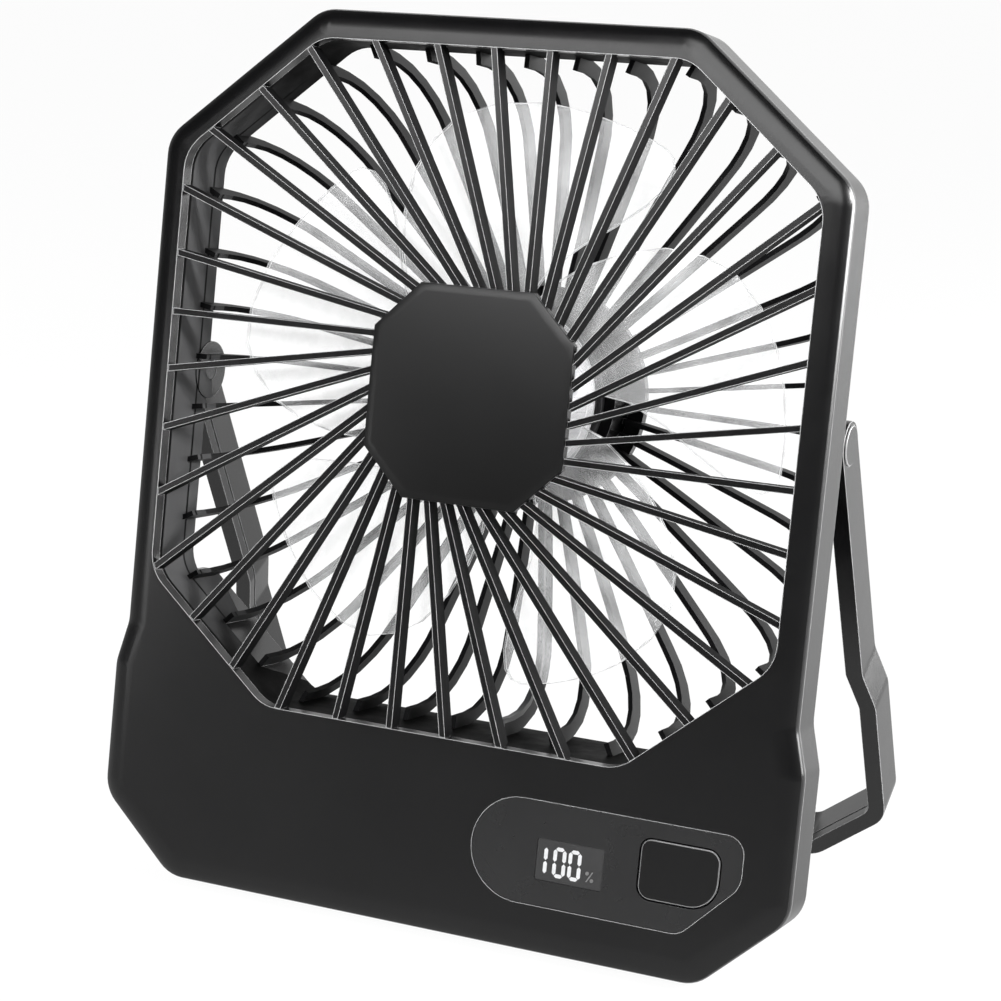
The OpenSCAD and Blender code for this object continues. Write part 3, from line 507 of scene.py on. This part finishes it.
dress("motor_base", [dark_flange])
dress("motor_bearings", [bronze], 0.0002)
dress("motor_board", [black_board], 0.0001)
dress("stator_core", [laminations], 0.0001)
dress("stator_coils", [windings], 0.0004)
dress("motor_screws", [turned_steel], 0.0002)


# ---- Battery, boards and wires ----
# Two shrink-wrapped lithium cells lie in a black cradle in the base, joined by
# nickel strips; flat leads run from them to the charge board and the motor.
cell_wrap = plastic("cell_wrap", (0.020, 0.090, 0.220), (0.026, 0.115, 0.270), 0.28, 0.0008, 0.00005)
cradle_black = plastic("cradle_black", (0.012, 0.012, 0.012), (0.018, 0.018, 0.018), 0.5)
nickel = metal("nickel", (0.50, 0.49, 0.46), (0.64, 0.63, 0.60), 0.28, stretch=(0.2, 1, 1))
insulation = plastic("insulation", (0.012, 0.012, 0.013), (0.020, 0.020, 0.021), 0.42, 0.0005)
green_board = circuit("green_board", (0.006, 0.055, 0.018), (0.030, 0.160, 0.060))

dress("battery_cells", [cell_wrap], 0.0006)
dress("battery_cradle", [cradle_black])
dress("battery_strips", [nickel], 0.0001)
dress("charge_board", [green_board], 0.0001)
dress("wiring", [insulation], 0.0003)
dress("motor_lead", [insulation], 0.0001)
dress("usb_socket", [turned_steel], 0.0001)


# ---- Impeller and rotor ----
# Five frosted polypropylene blades moulded on one hub, a little rounded and
# denser along their edges. The hub is pressed onto a deep-drawn steel can with
# a ring of bonded magnets, and turns on a ground shaft held by a clip.
haze_share = 0.45


def frosted(name, cover, white):
    material = bpy.data.materials.new(name)
    tree = cleared(material)
    clear = put(tree, "ShaderNodeBsdfTransparent")
    body = put(tree, "ShaderNodeBsdfPrincipled")
    body.inputs["Base Color"].default_value = (*white, 1)
    join(tree, spread(tree, noise(tree, 0.004, 4.0, 0.6), 0.22, 0.34), body.inputs["Roughness"])
    glow = put(tree, "ShaderNodeBsdfTranslucent")
    glow.inputs["Color"].default_value = (*white, 1)
    haze = put(tree, "ShaderNodeMixShader")
    haze.inputs[0].default_value = haze_share
    join(tree, body.outputs[0], haze.inputs[1])
    join(tree, glow.outputs[0], haze.inputs[2])
    bumped(tree, body, noise(tree, 0.0012), 0.000006)
    flow = spread(tree, noise(tree, 0.010, 3.0, 0.55), cover - 0.05, cover + 0.05)
    output(tree, blended(tree, flow, clear.outputs[0], haze.outputs[0]))
    return material


frosted_blade = frosted("frosted_blade", 0.20, (0.92, 0.925, 0.93))
frosted_rim = frosted("frosted_rim", 0.75, (0.74, 0.745, 0.75))
magnet = plastic("magnet", (0.030, 0.030, 0.032), (0.050, 0.050, 0.052), 0.6, 0.0004)
drawn_can = metal("drawn_can", (0.36, 0.36, 0.37), (0.50, 0.50, 0.51), 0.35, stretch=(1, 0.1, 1))

dress("impeller", [frosted_blade, frosted_rim], 0.0002)
dress("rotor_can", [drawn_can], 0.0004)
dress("rotor_magnets", [magnet], 0.0002)
dress("motor_shaft", [turned_steel], 0.0002)
dress("shaft_clip", [turned_steel], 0.0001)


# ---- Front cover ----
# The front half of the case, moulded in one piece in the same charcoal ABS: the
# bezel, the straight ribs that run past the centre, the flat hub and the front
# of the base. Four screws from behind hold it against the rear shell.
rib_front_depth = 0.0004
rib_rear_depth = 0.0090
rib_outward = (-0.6, 0.6)
front_rib_sides = faces_at("front_rib_sides", 2, level, rib_outward, (rib_front_depth, rib_rear_depth))
dress("front_cover", [case_charcoal, duct_wall, bare_mould], 0, rules=[front_rib_sides, duct_faces])


# ---- Hub plate ----
# A thin moulded cap pressed over the hub, left bare. It is domed very slightly, and its
# colour is painted light and shade: grey at the top, fading to black at the bottom.
plate_half = 0.0248
plate_corner = 0.01085
plate_dome = 0.0005
plate_rim = -0.0003
plate_skirt = 0.0006
plate_steps = 12
plate_side_steps = 6
cut = plate_half - plate_corner
outline = [(cut, plate_half), (plate_half, cut), (plate_half, -cut), (cut, -plate_half),
    (-cut, -plate_half), (-plate_half, -cut), (-plate_half, cut), (-cut, plate_half)]


def at(x, depth, height):
    return fan_front + x * across + depth * back + height * up


plate_painted_shade = bpy.data.materials.new("plate_painted_shade")
tree = cleared(plate_painted_shade)
body = put(tree, "ShaderNodeBsdfPrincipled")
body.inputs["Specular IOR Level"].default_value = 0.36
where = put(tree, "ShaderNodeTexCoord").outputs["Object"]
height = reach_along(tree, from_front(tree, where), up)
# Painted light and shade: lighter at the top of the plate, darker at the bottom
plate_shade_share = spread(tree, height, 0, 1, -plate_half, plate_half)
join(tree, between(tree, plate_shade_share, (0.0004, 0.0004, 0.0004), (0.006, 0.006, 0.0061)), body.inputs["Base Color"])
join(tree, spread(tree, noise(tree, 0.012), 0.28, 0.30, 0.2, 0.8), body.inputs["Roughness"])
bumped(tree, body, noise(tree, 0.0004), 0.000005)
output(tree, body.outputs[0])

rim = []
for start, end in zip(outline, outline[1:] + outline[:1]):
    for step in range(plate_side_steps):
        way = step / plate_side_steps
        rim.append((start[0] + (end[0] - start[0]) * way, start[1] + (end[1] - start[1]) * way))
around = len(rim)
plate_points = [at(0, plate_rim - plate_dome, 0)]
for ring in range(1, plate_steps + 1):
    share = ring / plate_steps
    for x, z in rim:
        rise = plate_dome * (1 - (share * math.hypot(x, z) / plate_half) ** 2)
        plate_points.append(at(x * share, plate_rim - rise, z * share))
plate_points += [at(x, plate_skirt, z) for x, z in rim]
plate_faces = [(0, 1 + k, 1 + (k + 1) % around) for k in range(around)]
for ring in range(plate_steps):
    low, high = 1 + ring * around, 1 + (ring + 1) * around
    plate_faces += [(low + k, high + k, high + (k + 1) % around, low + (k + 1) % around)
        for k in range(around)]
plate_faces.append(tuple(1 + plate_steps * around + k for k in reversed(range(around))))

plate_mesh = bpy.data.meshes.new("hub_plate")
plate_mesh.from_pydata([tuple(point) for point in plate_points], [], plate_faces)
plate_mesh.validate()
plate_mesh.materials.append(plate_painted_shade)
for face in plate_mesh.polygons:
    face.use_smooth = True
hub_plate = bpy.data.objects.new("hub_plate", plate_mesh)
bpy.context.scene.collection.objects.link(hub_plate)
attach(hub_plate, "case")
softened = hub_plate.modifiers.new("rounding", "BEVEL")
softened.width = 0.0002
softened.segments = 2
softened.limit_method = "ANGLE"
softened.angle_limit = rounded_turn
hub_plate.modifiers.new("crisp", "NODES").node_group = crisp


# ---- Control panel ----
# A separate satin panel let into the base, with a smoked window over a small
# lit readout, and a push button that works a switch on the board behind it.
percent_share = 0.80
percent_fade = 0.0001
charcoal = plastic("charcoal", charcoal_dark, charcoal_light, charcoal_rough, shine=charcoal_shine)
panel_satin = plastic("panel_satin", (0.0055, 0.0055, 0.0057), (0.0070, 0.0070, 0.0072), 0.28,
    0.0004, 0.000003)
# Painted highlight: a light grey laid on the button's rounded edges
button_edge_highlight = plastic("button_edge_highlight", (0.06, 0.06, 0.061), (0.09, 0.09, 0.091), 0.24)
smoked = plastic("smoked", (0.014, 0.014, 0.0143), (0.017, 0.017, 0.0173), 0.2, 0.0006, 0.000003)

digits_box = [corner.x for corner in map(Vector, solid["display_digits"].bound_box)]
percent_left = min(digits_box) + percent_share * (max(digits_box) - min(digits_box))
digit_white = bpy.data.materials.new("digit_white")
tree = cleared(digit_white)
even = spread(tree, noise(tree, 0.0008), 0, 1)
digit_tone = between(tree, even, (0.86, 0.87, 0.88), (0.97, 0.98, 1.0))
percent_tone = between(tree, even, (0.20, 0.20, 0.20), (0.30, 0.30, 0.30))
digit_x = component(tree, put(tree, "ShaderNodeTexCoord").outputs["Object"], "X")
percent_sign = spread(tree, digit_x, 0, 1, percent_left, percent_left + percent_fade)
lit = put(tree, "ShaderNodeEmission")
join(tree, between(tree, percent_sign, digit_tone, percent_tone), lit.inputs["Color"])
output(tree, lit.outputs[0])

dress("control_panel", [panel_satin], 0.0001)
dress("power_button", [charcoal, button_edge_highlight], 0.0003)
dress("display_window", [smoked], 0.0001)
dress("display_digits", [digit_white], 0.00002)
dress("display_module", [cradle_black])
dress("control_board", [green_board], 0.0001)
dress("tact_switch", [cradle_black], 0.0001)


# ---- Screws, feet and pivots ----
# Four case screws from behind, two rubber feet, and a steel pin on each side
# with a nylon washer, on which the stand turns.
rubber = plastic("rubber", (0.012, 0.012, 0.012), (0.018, 0.018, 0.018), 0.7, 0.0002, 0.00004)
nylon = plastic("nylon", (0.55, 0.55, 0.51), (0.62, 0.62, 0.58), 0.4, 0.0005)
blackened = metal("blackened", (0.030, 0.030, 0.031), (0.055, 0.055, 0.056), 0.4)

dress("case_screws", [blackened], 0.0002)
dress("base_feet", [rubber], 0.0003)
dress("pivot_pins", [blackened], 0.0002)
dress("pivot_washers", [nylon], 0.0001)


# ---- Stand ----
# A U-shaped bar in the same charcoal plastic, with a rubber strip under its
# cross bar and a round cap pressed over each pivot.
# Painted highlight: a light grey laid on the rounded edges of the stand and the pivot caps
charcoal_edge_highlight = plastic("charcoal_edge_highlight", (0.15, 0.15, 0.151), (0.20, 0.20, 0.201), 0.22)

dress("stand", [charcoal, charcoal_edge_highlight], 0.00015)
dress("stand_pad", [rubber], 0.0003)
dress("pivot_caps", [charcoal, charcoal_edge_highlight], 0.0003)
